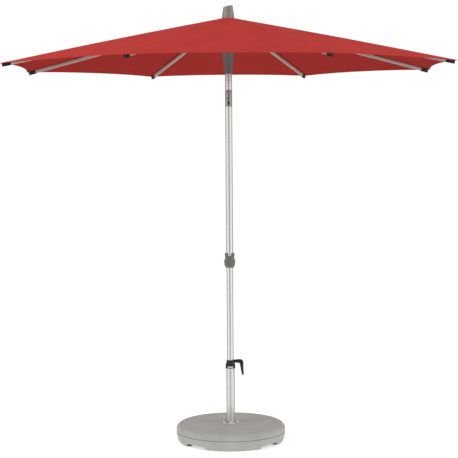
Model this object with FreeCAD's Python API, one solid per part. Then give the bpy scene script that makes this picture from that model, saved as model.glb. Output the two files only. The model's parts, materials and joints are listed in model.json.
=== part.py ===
import FreeCAD, Part
import math
import os

# Garden umbrella on a weighted base, in millimetres.
# Frame: +Z up, origin on the floor at the centre of the base, the front of the object towards -Y.
# The umbrella is drawn open and upright, with the mast at its usual height.

V = FreeCAD.Vector
UP = V(0, 0, 1)
ORIGIN = V(0, 0, 0)

# ---- clearances -------------------------------------------------------------
GAP = 0.3                    # between pieces that move past each other
PIN_GAP = 0.05               # radial, a pin in the hole that it turns in
PAST = 1.0                   # a cut runs this far beyond the faces that it opens

# ---- base -------------------------------------------------------------------
BASE_R = 300.0               # widest radius, just under the seam
BASE_H = 98.5                # floor to the flat top
FOOT_TUCK = 13.0             # the skirt's foot inside the widest radius
TOP_TUCK = 27.0              # the flat top's rim inside the widest radius
EDGE_TUCK = 9.5              # middle of the rounded top edge, inside the upper shell's radius
EDGE_DROP = 8.0              # and below the flat top
SEAM_Z = 54.0                # upper rim of the lower shell
SEAM_GAP = 3.0               # groove between the two shells
SEAM_STEP = 0.5              # the upper shell is this much narrower than the lower
SHELL_WALL = 4.0
SHELL_TOP_WALL = 3.0
TRAY_Z = 22.0                # underside of the tray that carries the concrete
TRAY_TUCK = 9.0              # the tray's inside corner, inside the widest radius
SKIRT_TUCK = 4.5             # the skirt's outside at the tray, inside the widest radius
SKIRT_T = 9.5                # the skirt's thickness at the tray
SKIRT_FOOT_T = 6.0           # and at its foot
SKIRT_LIFT = 1.0             # the skirt ends this far above the floor
LOBES = 4
LOBE_TURN = 3.0              # degrees, lobe centres from the frame's axes
ARCH_HALF_W = 80.0           # hand hole between two lobes, half width at the floor
ARCH_H = 20.0
ARCH_SHOULDER_W = 69.0       # half width where its rounded top starts
ARCH_SHOULDER_H = 15.0
ARCH_DEPTH = 100.0           # the hole starts this far inside the widest radius

PAD_R = 13.0
PAD_TUCK = 37.0              # pad centres inside the widest radius
PAD_OFF = 28.5               # degrees, each side of a lobe's centre
PAD_CHAMFER = 2.0

# ---- stand tube -------------------------------------------------------------
SLEEVE_WALL = 2.9            # reducing sleeve between the stand tube and the mast
STAND_WALL = 2.0
STAND_L = 324.5              # tube above the flange
FLANGE_RIM = 21.5            # flange beyond the stand tube
FLANGE_T = 3.0
SCREW_OUT = 10.0             # screw centres beyond the stand tube
SCREW_R = 4.0
SCREW_L = 45.0               # shank below the flange
SCREW_HEAD_R = 6.5
SCREW_HEAD_H = 4.0
SCREW_HEAD_ROUND = 1.5
SOCKET_R = 2.6
SOCKET_DEPTH = 2.0
SCREW_TURN = 55.0            # degrees, first screw from +X

# ---- clamp on top of the stand tube -----------------------------------------
CLAMP_GRIP = 24.0            # how far it reaches down the stand tube
CLAMP_NECK = 21.0            # how far it stands above the stand tube
CLAMP_WALL = 3.5
CLAMP_NECK_WALL = 3.4
CLAMP_BORE_GAP = 0.7         # around the mast
CLAMP_SHOULDER = 8.0         # height of each slope between the wide part and the neck
CLAMP_BEVEL = 1.2
WINDOW_W = 36.0
WINDOW_H = 9.0
WINDOW_UP = 3.0              # window's sill above the clamp's foot
STUD_R = 3.0                 # round stud above the window
STUD_DROP = 7.0              # below the stand tube's end
CLAMP_BOSS_R = 9.0
CLAMP_BOSS_OUT = 7.0         # each reach beyond the stand tube's outside
CLAMP_SCREW_R = 5.0
CLAMP_SCREW_OUT = 23.0
CLAMP_SCREW_UP = 14.0        # screw axis above the stand tube
LEVER_HUB_R = 9.5
LEVER_HUB_OUT = 34.0
LEVER_GRIP_OUT = 21.0        # where the grip's flat bar starts
LEVER_OUT = 49.5             # outer face of the grip's end
LEVER_DROP = 82.0            # end of the grip below the screw axis
LEVER_T = 7.0
LEVER_W = 15.0
LEVER_TIP = 2.0              # bevel at the grip's end
ELBOW_TUCK = 6.0             # elbow's outer face inside the grip's end
ELBOW_BEVEL = 4.5
ELBOW_W = 20.0               # elbow's inner corner inside the grip's inner face
BEND_DROP = 27.5             # the grip leans outwards from here down
BEND_W = 11.0                # its inner face there, inside the grip's inner face

# ---- mast -------------------------------------------------------------------
MAST_R = 17.5                # lower tube, outside
MAST_WALL = 1.6
MAST_L = 1243.0
PLUG_T = 3.0                 # foot and cap of the lower tube, beyond its ends
PLUG_DEPTH = 15.0
GUIDE_WALL = 3.0             # guide ring inside the lower tube's top
TUBE_WALL = 1.2              # upper tube and head tube
TUBE_L = 854.0               # upper tube
HEIGHT_SET = 958.0           # floor to the bottom of the locking ring

# ---- height lock ------------------------------------------------------------
COLLET_H = 22.0
COLLET_WALL = 4.2
COLLET_SLIT = 2.0
COLLET_ROOT = 5.0            # unslit length of the collet
RING_LIP = 3.5               # bottom lip of the ring, under the collet
RING_LIP_GAP = 0.2           # the lip stands this much wider around the mast than the collet
RING_OUT = 12.5              # the ring's widest radius beyond the upper tube
RING_LIP_W = 1.8             # width of the lip's flat face
RING_FLARE = 7.0             # the lip flares this far out and up
RING_EDGE = 1.3
SPIGOT_WALL = 4.0
SPIGOT_H = 24.0              # the ring turns on this length of the collar
COLLAR_WALL = 7.5
COLLAR_H = 54.0              # collar along the upper tube, spigot included
COLLAR_EDGE = 1.5
COLLAR_WAIST = 2.0           # depth of the waist above the ring
COLLAR_WAIST_UP = 5.0
COLLAR_FLARE_UP = 14.0       # full width again from this height above the ring
COLLAR_NOTCH_W = 28.5
COLLAR_NOTCH_H = 16.0
COLLAR_NOTCH_ROUND = 6.0

# ---- tilt joint -------------------------------------------------------------
TILT_PIVOT_UP = 47.0         # pivot above the end of the upper tube
TILT_CHEEK_R = 37.0          # rounded top of the two cheeks
TILT_FACE_GAP = 1.0          # between the cheeks and the head's lower face
TILT_SLOT_W = 10.0
TONGUE_R = 12.0
TONGUE_SIDE_GAP = 0.2
TONGUE_FOOT_GAP = 1.0
TILT_PIN_R = 4.0
TILT_PIN_SINK = 0.5          # the pin's ends inside the tube's outline
HEAD_FACE_T = 6.0
SPIGOT_L = 38.0
BUTTON_W = 9.0
BUTTON_H = 20.0
BUTTON_DROP = 28.0           # button's centre below the pivot
BUTTON_L = 7.3
BUTTON_TRAVEL = 4.0
BUTTON_ROOM = 1.5            # left behind a pressed button
BUTTON_SINK = 0.7            # front face inside the tube's outline

# ---- head and crown ---------------------------------------------------------
HEAD_L = 416.0               # tilt pivot to rib pivots
RIB_COUNT = 8
RIB_FIRST = 22.5             # degrees, first rib from +X
RIB_PIVOT_R = 43.0
HUB_RIM = 9.0                # hub and runner flange beyond their pivots
HUB_EDGE = 2.0               # bevel of their rims
HUB_ABOVE = 4.6              # hub's top above the pivots
HUB_BELOW = 17.4
HUB_SKIRT = 22.0
HUB_SKIRT_WALL = 5.0
HUB_CAP = 10.0               # solid hub above the head tube
BOSS_R = 12.0
BOSS_H = 16.0
TONGUE_TAIL_GAP = 0.8        # behind a rib's tongue, towards the mast
WIRE_R = 1.6
WIRE_GAP = 0.2

# ---- ribs and struts --------------------------------------------------------
RIB_SLOPE = 11.9             # degrees below level when open
RIB_FOLD = 75.5              # degrees that a rib turns when the umbrella closes
RIB_W = 12.0
RIB_H = 18.0
RIB_WALL = 1.2
RIB_START = 27.0             # along the rib from its pivot
RIB_END = 1209.0
RIB_CORNER = 4.0             # rounding of the tube's long edges
BLADE_T = 4.8                # tongue of a rib and flattened ends of a strut
TONGUE_H = 9.6
INSERT_L = 35.0
CAP_GRIP = 24.0              # the cap's reach over the rib's end
CAP_NOSE = 21.0              # and beyond it
CAP_SIDE = 1.6
CAP_STEP = 0.6               # the cap's top below the rib's top, clear of the cloth
CAP_ROUND = 2.0
STRUT_AT = 310.0             # strut pivot along the rib
STRUT_W = 10.0
STRUT_H = 8.0
STRUT_CORNER = 2.5
STRUT_INNER_BLADE = 80.0
STRUT_OUTER_BLADE = 22.0
STRUT_EYE_R = 4.2
EYE_ROOM = 1.8               # between a strut's outer eye and the rib above it
STRUT_PIN_R = 2.0
STRUT_PIN_L = 12.0
EAR_T = 2.5
EAR_L = 24.0
WRAP_T = 1.0                 # bracket's wall at the rib's sides
WRAP_UP = 3.0                # and its top edge above the rib's axis
RIVET_R = 2.0

# ---- runner -----------------------------------------------------------------
RUNNER_H = 140.0
RUNNER_TOP_UP = 11.8         # runner's top above the strut pivots
RUNNER_FLANGE_H = 22.0
RUNNER_WALL = 2.3            # at the foot
RUNNER_BOW = 4.0             # the side has spread this far
RUNNER_BOW_UP = 64.4         # at this height, on its way to the waist under the flange
WAIST_TUCK = 2.8             # the waist inside the struts' inner eyes
BUSH_WALL = 1.6
BUSH_INSET = 1.0             # the bush ends inside the runner's ends
RUNNER_KEY_R = 6.0
RUNNER_KEY_UP = 62.0         # key above the runner's foot
RUNNER_KEY_OUT = 8.0         # its face beyond the foot's radius
RUNNER_KEY_L = 5.5
RUNNER_KEY_TRAVEL = 3.0
RUNNER_KEY_ROOM = 0.5

# ---- canopy and finial ------------------------------------------------------
CORNER_OVERHANG = 15.4       # the canopy's corners beyond the rib caps
CANOPY_T = 1.2
CANOPY_INNER_R = 20.0
SCALLOP = 35.0               # the hem between two ribs runs this far inside a straight line
PANEL_GAP = 0.2              # half the gap between neighbouring panels
FINIAL_R = 34.0
FINIAL_TOP_R = 24.0
FINIAL_H = 74.0
FINIAL_SLANT = 15.0          # the slanted top falls this much from +X to -X
FINIAL_WALL = 2.0
FINIAL_DRAFT = 2.0           # it narrows this much up to its shoulder
FINIAL_SHOULDER_UP = 20.0
FINIAL_ROUND = 5.0

# ---- places worked out from the sizes above ---------------------------------
HALF_PANEL = math.radians(180.0 / RIB_COUNT)
SLOPE = math.radians(RIB_SLOPE)
BASE_FOOT_R = BASE_R - FOOT_TUCK
BASE_TOP_R = BASE_R - TOP_TUCK
UPPER_R = BASE_R - SEAM_STEP
UPPER_Z = SEAM_Z + SEAM_GAP
TRAY_R = BASE_R - TRAY_TUCK
TRAY_RIM_R = BASE_R - SHELL_WALL
TRAY_TOP = TRAY_Z + SHELL_WALL
STAND_Z = BASE_H + FLANGE_T
STAND_TOP = STAND_Z + STAND_L
STAND_BORE = MAST_R + SLEEVE_WALL + 2 * GAP
STAND_R = STAND_BORE + STAND_WALL
SCREW_RING_R = STAND_R + SCREW_OUT
CLAMP_FLARE_R = STAND_R + CLAMP_WALL
CLAMP_BORE = MAST_R + CLAMP_BORE_GAP
CLAMP_AXIS_Z = STAND_TOP + CLAMP_SCREW_UP
MAST_FOOT = STAND_Z + GAP
MAST_Z = MAST_FOOT + PLUG_T
MAST_TOP = MAST_Z + MAST_L
MAST_BORE = MAST_R - MAST_WALL
TUBE_BORE = MAST_R + GAP
TUBE_R = TUBE_BORE + TUBE_WALL
COLLET_R = TUBE_BORE + COLLET_WALL
SPIGOT_R = TUBE_R + SPIGOT_WALL
COLLAR_R = TUBE_R + COLLAR_WALL
RING_R = TUBE_R + RING_OUT
COLLET_Z = HEIGHT_SET + RING_LIP + 2 * GAP
TUBE_Z = COLLET_Z + COLLET_H
TUBE_TOP = TUBE_Z + TUBE_L
TILT_Z = TUBE_TOP + TILT_PIVOT_UP
TILT_FACE_Z = TILT_Z + TILT_CHEEK_R + TILT_FACE_GAP
HEAD_Z = TILT_FACE_Z + HEAD_FACE_T
CROWN_Z = TILT_Z + HEAD_L
HEAD_TOP = CROWN_Z + HUB_ABOVE - HUB_CAP
HUB_RIM_R = RIB_PIVOT_R + HUB_RIM
BUSH_BORE = TUBE_R + GAP
RUNNER_BORE = BUSH_BORE + BUSH_WALL
RUNNER_FOOT_R = RUNNER_BORE + RUNNER_WALL
KEY_FRONT = RUNNER_FOOT_R + RUNNER_KEY_OUT
CAP_START = RIB_END - CAP_GRIP
CAP_END = RIB_END + CAP_NOSE
STRUT_DROP = RIB_H / 2 + EYE_ROOM + STRUT_EYE_R    # strut pivot below the rib's axis

# A strut is as long as the line from a rib's pivot to its own pivot on the rib, and it hangs from the
# runner at the same radius as the rib hangs from the crown. Rib and strut are then mirror images of each
# other at every stage of folding, and the strut's inner end always lies on a line parallel to the mast.
STRUT_L = math.hypot(STRUT_AT, STRUT_DROP)
STRUT_RISE = SLOPE + math.atan2(STRUT_DROP, STRUT_AT)
RUNNER_PIVOT_Z = CROWN_Z - 2 * STRUT_L * math.sin(STRUT_RISE)
FOLD_TRAVEL = 2 * STRUT_L * (math.sin(STRUT_RISE + math.radians(RIB_FOLD)) - math.sin(STRUT_RISE))
RUNNER_TOP = RUNNER_PIVOT_Z + RUNNER_TOP_UP
RUNNER_Z = RUNNER_TOP - RUNNER_H

# Underside of the canopy: planes between straight ridges that lie on the ribs.
RIDGE_LIFT = (RIB_H / 2) / math.cos(SLOPE) + GAP
CANOPY_APEX = CROWN_Z + RIDGE_LIFT + RIB_PIVOT_R * math.tan(SLOPE)
PANEL_FALL = math.tan(SLOPE) / math.cos(HALF_PANEL)
CANOPY_TIP_R = RIB_PIVOT_R + CAP_END * math.cos(SLOPE) + CORNER_OVERHANG


# ---- shape helpers ----------------------------------------------------------
def tube(outer, inner, low, high):
    """Upright tube between two heights."""
    body = Part.makeCylinder(outer, high - low, V(0, 0, low))
    return body.cut(Part.makeCylinder(inner, high - low, V(0, 0, low)))


def rod(radius, start, end):
    """Round bar between two points."""
    return Part.makeCylinder(radius, (end - start).Length, start, end - start)


def block(x0, x1, y0, y1, z0, z1):
    """Box between two corners."""
    return Part.makeBox(x1 - x0, y1 - y0, z1 - z0, V(x0, y0, z0))


def turned(edges):
    """Solid of revolution about Z from the edges of a closed outline in the XZ plane."""
    return Part.Face(Part.Wire(edges)).revolve(ORIGIN, UP, 360)


def chain(*points):
    """Straight edges through (radius, height) points."""
    spots = [V(r, 0, z) for r, z in points]
    return [Part.LineSegment(a, b).toShape() for a, b in zip(spots, spots[1:])]


def bow(start, middle, end):
    """Arc through three (radius, height) points."""
    return [Part.Arc(*[V(r, 0, z) for r, z in (start, middle, end)]).toShape()]


def lathe(*points):
    """Solid of revolution whose outline is straight between the points."""
    return turned(chain(*points, points[0]))


def plate(points, normal):
    """Flat plate: an outline of points, thickened along the vector."""
    return Part.Face(Part.makePolygon(list(points) + [points[0]])).extrude(normal)


def bar_along_x(width, height, corner, x0, x1):
    """Bar along X with a rounded rectangular section, centred on the axis."""
    bar = block(x0, x1, -width / 2, width / 2, -height / 2, height / 2)
    half = (x1 - x0) / 2
    long_edges = [e for e in bar.Edges if abs(e.Vertexes[0].Point.x - e.Vertexes[1].Point.x) > half]
    return bar.makeFillet(corner, long_edges)


def stadium_along_y(width, height, y0, y1, z):
    """Upright slot shape, drawn through from y0 to y1 and centred at height z."""
    half = (height - width) / 2
    shape = block(-width / 2, width / 2, y0, y1, z - half, z + half)
    for end in (z - half, z + half):
        shape = shape.fuse(rod(width / 2, V(0, y0, end), V(0, y1, end)))
    return shape.removeSplitter()


def around(shape, degrees):
    """Copy turned about the mast's axis."""
    return shape.rotated(ORIGIN, UP, degrees)


def ring_of(shape, count, first):
    """Copies spread evenly about the mast's axis."""
    return [around(shape, first + 360.0 / count * i) for i in range(count)]


def cut_all(shape, tools):
    for tool in tools:
        shape = shape.cut(tool)
    return shape


# ---- base -------------------------------------------------------------------
def arch():
    """Hand hole under the edge of the base, drawn across +X."""
    inner = BASE_R - ARCH_DEPTH
    left_foot, right_foot = V(inner, -ARCH_HALF_W, -PAST), V(inner, ARCH_HALF_W, -PAST)
    left = V(inner, -ARCH_SHOULDER_W, ARCH_SHOULDER_H)
    right = V(inner, ARCH_SHOULDER_W, ARCH_SHOULDER_H)
    top = V(inner, 0, ARCH_H)
    outline = [Part.LineSegment(left_foot, left), Part.Arc(left, top, right),
               Part.LineSegment(right, right_foot), Part.LineSegment(right_foot, left_foot)]
    outline = [edge.toShape() for edge in outline]
    return Part.Face(Part.Wire(outline)).extrude(V(ARCH_DEPTH + PAST, 0, 0))


def edge_bow(inset):
    """Rounded edge of the upper shell, offset inwards."""
    low = (UPPER_R - inset, UPPER_Z)
    high = (BASE_TOP_R, BASE_H - inset)
    middle = (UPPER_R - EDGE_TUCK - inset, BASE_H - EDGE_DROP - inset)
    return low, middle, high


def base_shell_lower():
    skirt_r = BASE_R - SKIRT_TUCK
    edges = bow((BASE_FOOT_R, SKIRT_LIFT), (skirt_r, TRAY_Z), (BASE_R, SEAM_Z))
    edges += chain((BASE_R, SEAM_Z), (TRAY_RIM_R, SEAM_Z), (TRAY_R, TRAY_TOP), (0, TRAY_TOP), (0, TRAY_Z),
                   (skirt_r - SKIRT_T, TRAY_Z), (BASE_FOOT_R - SKIRT_FOOT_T, SKIRT_LIFT),
                   (BASE_FOOT_R, SKIRT_LIFT))
    half_turn = 180.0 / LOBES
    return cut_all(turned(edges), ring_of(arch(), LOBES, LOBE_TURN + half_turn))


def base_shell_upper():
    low, middle, high = edge_bow(0)
    in_low, in_middle, in_high = edge_bow(SHELL_TOP_WALL)
    edges = bow(low, middle, high) + chain(high, (0, BASE_H), (0, BASE_H - SHELL_TOP_WALL), in_high)
    edges += bow(in_high, in_middle, in_low) + chain(in_low, low)
    return cut_all(turned(edges), screw_shanks())


def concrete_core():
    low, middle, high = edge_bow(SHELL_TOP_WALL)
    edges = bow(low, middle, high) + chain(high, (0, high[1]), (0, TRAY_TOP), (TRAY_R, TRAY_TOP),
                                           (TRAY_RIM_R, SEAM_Z), low)
    return cut_all(turned(edges), screw_shanks())


def foot_pads():
    pad = Part.makeCylinder(PAD_R, TRAY_Z, V(BASE_R - PAD_TUCK, 0, 0))
    pad = pad.makeChamfer(PAD_CHAMFER, [e for e in pad.Edges if abs(e.CenterOfMass.z) < 0.01])
    return [p for side in (-PAD_OFF, PAD_OFF) for p in ring_of(pad, LOBES, LOBE_TURN + side)]


# ---- stand tube, flange and clamp -------------------------------------------
def screw_shanks():
    shank = Part.makeCylinder(SCREW_R, SCREW_L + FLANGE_T, V(SCREW_RING_R, 0, STAND_Z - SCREW_L - FLANGE_T))
    return ring_of(shank, 4, SCREW_TURN)


def base_tube():
    flange = Part.makeCylinder(STAND_R + FLANGE_RIM, FLANGE_T, V(0, 0, BASE_H))
    stand = tube(STAND_R, STAND_BORE, STAND_Z, STAND_TOP)
    return cut_all(flange.fuse(stand).removeSplitter(), screw_shanks())


def flange_screws():
    top = STAND_Z + SCREW_HEAD_H
    head = Part.makeCylinder(SCREW_HEAD_R, SCREW_HEAD_H, V(SCREW_RING_R, 0, STAND_Z))
    head = head.makeFillet(SCREW_HEAD_ROUND, [e for e in head.Edges if abs(e.CenterOfMass.z - top) < 0.01])
    socket = Part.makeCylinder(SOCKET_R, SOCKET_DEPTH, V(SCREW_RING_R, 0, top - SOCKET_DEPTH))
    heads = ring_of(head.cut(socket), 4, SCREW_TURN)
    return [h.fuse(s).removeSplitter() for h, s in zip(heads, screw_shanks())]


def clamp_collar():
    low, top = STAND_TOP - CLAMP_GRIP, STAND_TOP + CLAMP_NECK
    neck = CLAMP_BORE + CLAMP_NECK_WALL
    body = lathe((STAND_R, low), (CLAMP_FLARE_R, low), (CLAMP_FLARE_R, STAND_TOP - CLAMP_SHOULDER),
                 (CLAMP_FLARE_R - CLAMP_BEVEL, STAND_TOP), (neck, STAND_TOP + CLAMP_SHOULDER),
                 (neck, top - 2 * CLAMP_BEVEL), (neck - CLAMP_BEVEL, top), (CLAMP_BORE, top),
                 (CLAMP_BORE, STAND_TOP), (STAND_R, STAND_TOP))
    boss = rod(CLAMP_BOSS_R, V(CLAMP_BORE, 0, CLAMP_AXIS_Z), clamp_spot(CLAMP_BOSS_OUT))
    stud_z = STAND_TOP - STUD_DROP
    stud = rod(STUD_R, V(0, -CLAMP_FLARE_R - PAST, stud_z), V(0, -STAND_R, stud_z))
    body = body.fuse([boss, stud]).removeSplitter()
    body = body.cut(Part.makeCylinder(STAND_R, CLAMP_GRIP + PAST, V(0, 0, low - PAST)))
    body = body.cut(Part.makeCylinder(CLAMP_BORE, CLAMP_NECK, V(0, 0, STAND_TOP)))
    body = body.cut(rod(CLAMP_SCREW_R + PIN_GAP, V(0, 0, CLAMP_AXIS_Z), clamp_spot(CLAMP_BOSS_OUT + PAST)))
    sill = low + WINDOW_UP
    return body.cut(block(-WINDOW_W / 2, WINDOW_W / 2, -CLAMP_FLARE_R - PAST, 0, sill, sill + WINDOW_H))


def clamp_spot(out):
    """Point on the screw's axis, this far beyond the stand tube's outside."""
    return V(STAND_R + out, 0, CLAMP_AXIS_Z)


def clamp_screw():
    return rod(CLAMP_SCREW_R, V(MAST_R + GAP, 0, CLAMP_AXIS_Z), clamp_spot(CLAMP_SCREW_OUT))


def clamp_lever():
    z = CLAMP_AXIS_Z
    hub = rod(LEVER_HUB_R, clamp_spot(CLAMP_BOSS_OUT + GAP), clamp_spot(LEVER_HUB_OUT))
    outer = STAND_R + LEVER_OUT
    inner, elbow, end = outer - LEVER_T, outer - ELBOW_TUCK, z - LEVER_DROP
    profile = [(STAND_R + LEVER_GRIP_OUT, z + LEVER_HUB_R), (elbow - ELBOW_BEVEL, z + LEVER_HUB_R),
               (elbow, z + LEVER_HUB_R - ELBOW_BEVEL), (elbow, z - BEND_DROP), (outer, end + LEVER_TIP),
               (outer - LEVER_TIP, end), (inner + LEVER_TIP / 2, end), (inner, end + LEVER_TIP),
               (inner - BEND_W, z - BEND_DROP), (inner - ELBOW_W, z - LEVER_HUB_R)]
    grip = plate([V(x, -LEVER_W / 2, h) for x, h in profile], V(0, LEVER_W, 0))
    lever = hub.fuse(grip).removeSplitter()
    return lever.cut(rod(CLAMP_SCREW_R, V(0, 0, z), clamp_spot(CLAMP_SCREW_OUT)))


# ---- mast -------------------------------------------------------------------
def reducer_sleeve():
    return tube(STAND_BORE - GAP, MAST_R + GAP, MAST_FOOT, STAND_TOP - GAP)


def lower_mast_tube():
    return tube(MAST_R, MAST_BORE, MAST_Z, MAST_TOP)


def lower_mast_plug():
    return lathe((0, MAST_FOOT), (MAST_R, MAST_FOOT), (MAST_R, MAST_Z), (MAST_BORE, MAST_Z),
                 (MAST_BORE, MAST_Z + PLUG_DEPTH), (0, MAST_Z + PLUG_DEPTH))


def lower_mast_guide():
    low, high = MAST_TOP - PLUG_DEPTH, MAST_TOP + PLUG_T
    hole, lip = MAST_BORE - GUIDE_WALL, MAST_R + GAP / 2
    return lathe((hole, low), (MAST_BORE, low), (MAST_BORE, MAST_TOP), (lip, MAST_TOP), (lip, high),
                 (hole, high))


def upper_mast_tube():
    return tube(TUBE_R, TUBE_BORE, TUBE_Z, TUBE_TOP)


# ---- height lock ------------------------------------------------------------
def collet():
    body = tube(COLLET_R, TUBE_BORE, COLLET_Z, TUBE_Z)
    slit = block(0, COLLET_R + PAST, -COLLET_SLIT / 2, COLLET_SLIT / 2, COLLET_Z - PAST, TUBE_Z - COLLET_ROOT)
    return cut_all(body, ring_of(slit, 4, 45.0))


def height_collar():
    top = TUBE_Z + COLLAR_H
    shoulder = TUBE_Z + SPIGOT_H
    edge, waist = COLLAR_R - COLLAR_EDGE, COLLAR_R - COLLAR_WAIST
    body = lathe((TUBE_R, TUBE_Z), (SPIGOT_R, TUBE_Z), (SPIGOT_R, shoulder), (edge, shoulder),
                 (waist, shoulder + COLLAR_WAIST_UP), (COLLAR_R, shoulder + COLLAR_FLARE_UP),
                 (COLLAR_R, top - COLLAR_EDGE), (edge, top), (TUBE_R, top))
    sill = top - COLLAR_NOTCH_H
    half, reach = COLLAR_NOTCH_W / 2, COLLAR_R + PAST
    notch = block(-half, half, -reach, reach, sill, top + 2 * COLLAR_NOTCH_ROUND)
    floor = [e for e in notch.Edges if abs(e.CenterOfMass.z - sill) < 0.01 and abs(e.CenterOfMass.y) < 0.01]
    return body.cut(notch.makeFillet(COLLAR_NOTCH_ROUND, floor))


def lock_ring():
    """Grip ring: it flares up from a thin lip, is widest above its middle and meets the collar's edge."""
    z, high = HEIGHT_SET, TUBE_Z + SPIGOT_H - GAP
    tall, edge = high - z, RING_R - RING_EDGE
    lip, pocket, hold = TUBE_BORE + RING_LIP_GAP, COLLET_R + 2 * GAP, SPIGOT_R + GAP
    return lathe((lip, z), (lip + RING_LIP_W, z), (lip + RING_FLARE, z + RING_FLARE),
                 (edge, z + 0.4 * tall), (RING_R, z + 0.6 * tall), (edge, z + 0.8 * tall),
                 (COLLAR_R - COLLAR_EDGE, high), (hold, high), (hold, TUBE_Z - GAP), (pocket, TUBE_Z - GAP),
                 (pocket, z + RING_LIP), (lip, z + RING_LIP))


# ---- tilt joint -------------------------------------------------------------
def button_pocket():
    depth = BUTTON_SINK + BUTTON_L + BUTTON_TRAVEL + BUTTON_ROOM
    return stadium_along_y(BUTTON_W + 2 * GAP, BUTTON_H + 2 * GAP, -TUBE_R - PAST, -TUBE_R + depth,
                           TILT_Z - BUTTON_DROP)


def tilt_fork():
    plug = Part.makeCylinder(TUBE_BORE, SPIGOT_L, V(0, 0, TUBE_TOP - SPIGOT_L))
    cheeks = Part.makeCylinder(TUBE_R, TILT_PIVOT_UP + TILT_CHEEK_R, V(0, 0, TUBE_TOP))
    wide = 2 * TUBE_R
    crown = rod(TILT_CHEEK_R, V(-wide, 0, TILT_Z), V(wide, 0, TILT_Z))
    below = block(-wide, wide, -wide, wide, TUBE_TOP - PAST, TILT_Z)
    cheeks = cheeks.common(crown.fuse(below))
    slot = block(-TILT_SLOT_W / 2, TILT_SLOT_W / 2, -wide, wide, TILT_Z - TONGUE_R - TONGUE_FOOT_GAP,
                 TILT_Z + TILT_CHEEK_R + PAST)
    body = plug.fuse(cheeks.cut(slot)).removeSplitter()
    body = body.cut(rod(TILT_PIN_R, V(-wide, 0, TILT_Z), V(wide, 0, TILT_Z)))
    return body.cut(button_pocket())


def tilt_pin():
    end = TUBE_R - TILT_PIN_SINK
    return rod(TILT_PIN_R, V(-end, 0, TILT_Z), V(end, 0, TILT_Z))


def tilt_tongue():
    """Blade between the cheeks, with a disc and a plug that carry the head tube."""
    half = TILT_SLOT_W / 2 - TONGUE_SIDE_GAP
    eye = rod(TONGUE_R, V(-half, 0, TILT_Z), V(half, 0, TILT_Z))
    blade = block(-half, half, -TONGUE_R, TONGUE_R, TILT_Z, TILT_FACE_Z)
    disc = Part.makeCylinder(TUBE_R, HEAD_FACE_T, V(0, 0, TILT_FACE_Z))
    spigot = Part.makeCylinder(TUBE_BORE, SPIGOT_L, V(0, 0, HEAD_Z))
    body = eye.fuse([blade, disc, spigot]).removeSplitter()
    return body.cut(rod(TILT_PIN_R + PIN_GAP, V(-TILT_SLOT_W, 0, TILT_Z), V(TILT_SLOT_W, 0, TILT_Z)))


def tilt_button():
    front = -TUBE_R + BUTTON_SINK
    return stadium_along_y(BUTTON_W, BUTTON_H, front, front + BUTTON_L, TILT_Z - BUTTON_DROP)


def head_tube():
    return tube(TUBE_R, TUBE_BORE, HEAD_Z, HEAD_TOP)


# ---- crown ------------------------------------------------------------------
def crown_hub():
    """Slotted disc with a skirt over the head tube and a boss that the finial sits on."""
    top, low = CROWN_Z + HUB_ABOVE, CROWN_Z - HUB_BELOW
    skirt, edge = TUBE_R + HUB_SKIRT_WALL, HUB_RIM_R - HUB_EDGE
    body = lathe((0, HEAD_TOP), (TUBE_R, HEAD_TOP), (TUBE_R, low - HUB_SKIRT), (skirt, low - HUB_SKIRT),
                 (skirt, low), (edge, low), (HUB_RIM_R, low + HUB_EDGE), (HUB_RIM_R, top - HUB_EDGE),
                 (edge, top), (BOSS_R, top), (BOSS_R, top + BOSS_H), (0, top + BOSS_H))
    half, root = BLADE_T / 2 + GAP, RIB_PIVOT_R - TONGUE_H / 2 - TONGUE_TAIL_GAP
    slot = block(root, HUB_RIM_R + PAST, -half, half, low - PAST, top + PAST)
    body = cut_all(body, ring_of(slot, RIB_COUNT, RIB_FIRST))
    return body.cut(Part.makeTorus(RIB_PIVOT_R, WIRE_R, V(0, 0, CROWN_Z), UP))


def crown_ring():
    return Part.makeTorus(RIB_PIVOT_R, WIRE_R, V(0, 0, CROWN_Z), UP)


def finial():
    low = canopy_height(FINIAL_R - FINIAL_WALL) + CANOPY_T + 2 * GAP
    high = low + FINIAL_H
    seat = CANOPY_APEX + CANOPY_T + 2 * GAP
    boss_top = CROWN_Z + HUB_ABOVE + BOSS_H
    shoulder = (FINIAL_R - FINIAL_DRAFT, low + FINIAL_SHOULDER_UP)
    body = lathe((FINIAL_R - FINIAL_WALL, low), (FINIAL_R, low), shoulder, (FINIAL_TOP_R, high), (0, high),
                 (0, boss_top), (BOSS_R, boss_top), (BOSS_R, seat))
    knife = plate([V(-FINIAL_R, -FINIAL_R, high - FINIAL_SLANT), V(FINIAL_R, -FINIAL_R, high),
                   V(FINIAL_R, -FINIAL_R, high + FINIAL_R), V(-FINIAL_R, -FINIAL_R, high + FINIAL_R)],
                  V(0, 2 * FINIAL_R, 0))
    body = body.cut(knife)
    rim = [e for e in body.Edges if e.BoundBox.ZMax > high - FINIAL_SLANT and e.Length > FINIAL_TOP_R * 3]
    return body.makeFillet(FINIAL_ROUND, rim)


def canopy_height(radius):
    """Underside of the canopy over a rib."""
    return CANOPY_APEX - radius * math.tan(SLOPE)


# ---- ribs -------------------------------------------------------------------
def on_rib(shape):
    """From rib coordinates (X along the rib from its pivot, Z above it) to the open rib towards +X."""
    shape = shape.rotated(ORIGIN, V(0, 1, 0), RIB_SLOPE)
    return shape.translated(V(RIB_PIVOT_R, 0, CROWN_Z))


def rib():
    outer = bar_along_x(RIB_W, RIB_H, RIB_CORNER, RIB_START, RIB_END)
    inner = bar_along_x(RIB_W - 2 * RIB_WALL, RIB_H - 2 * RIB_WALL, RIB_CORNER - RIB_WALL,
                        RIB_START - PAST, RIB_END + PAST)
    return on_rib(outer.cut(inner))


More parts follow.
